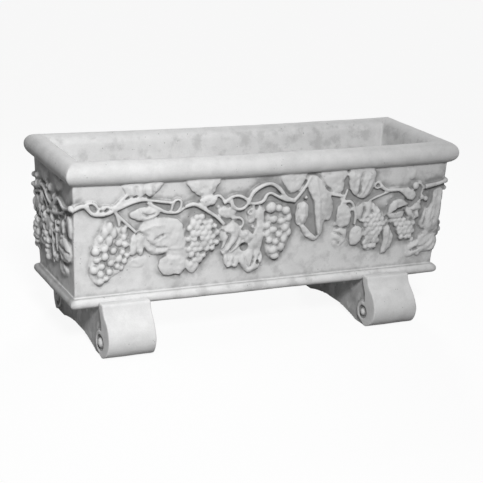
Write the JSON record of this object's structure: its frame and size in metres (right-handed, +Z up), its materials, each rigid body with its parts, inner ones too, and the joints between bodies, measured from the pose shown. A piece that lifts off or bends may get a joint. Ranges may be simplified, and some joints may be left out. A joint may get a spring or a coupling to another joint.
{
  "type": "concrete trough planter",
  "caption": "Rectangular concrete trough planter with a rolled rim and a grapevine relief on its walls, standing on loose scrolled feet.",
  "frame": {"origin": "on the ground under the middle of the trough", "axes": "+X along the length, front of the planter towards -Y, +Z up"},
  "size_m": [0.762, 0.318, 0.343],
  "materials": {
    "concrete": "matt cast concrete, mottled, darker in the crevices",
    "rod_steel": "plain mild steel rod"
  },
  "bodies": {
    "feet": {"left_foot": "concrete", "right_foot": "concrete", "left_foot_rod": "rod_steel", "right_foot_rod": "rod_steel"},
    "trough": {"trough": "concrete", "rim_rods": "rod_steel", "floor_rods": "rod_steel", "corner_rods": "rod_steel", "front_vine": "concrete", "front_leaves": "concrete", "front_grapes": "concrete", "back_vine": "concrete", "back_leaves": "concrete", "back_grapes": "concrete", "left_end_vine": "concrete", "left_end_leaves": "concrete", "left_end_grapes": "concrete", "right_end_vine": "concrete", "right_end_leaves": "concrete", "right_end_grapes": "concrete"}
  },
  "joints": [
    {"name": "trough_lift", "type": "slide", "parent": "feet", "child": "trough", "axis": [0, 0, 1], "range_m": [0, 0.3]}
  ]
}
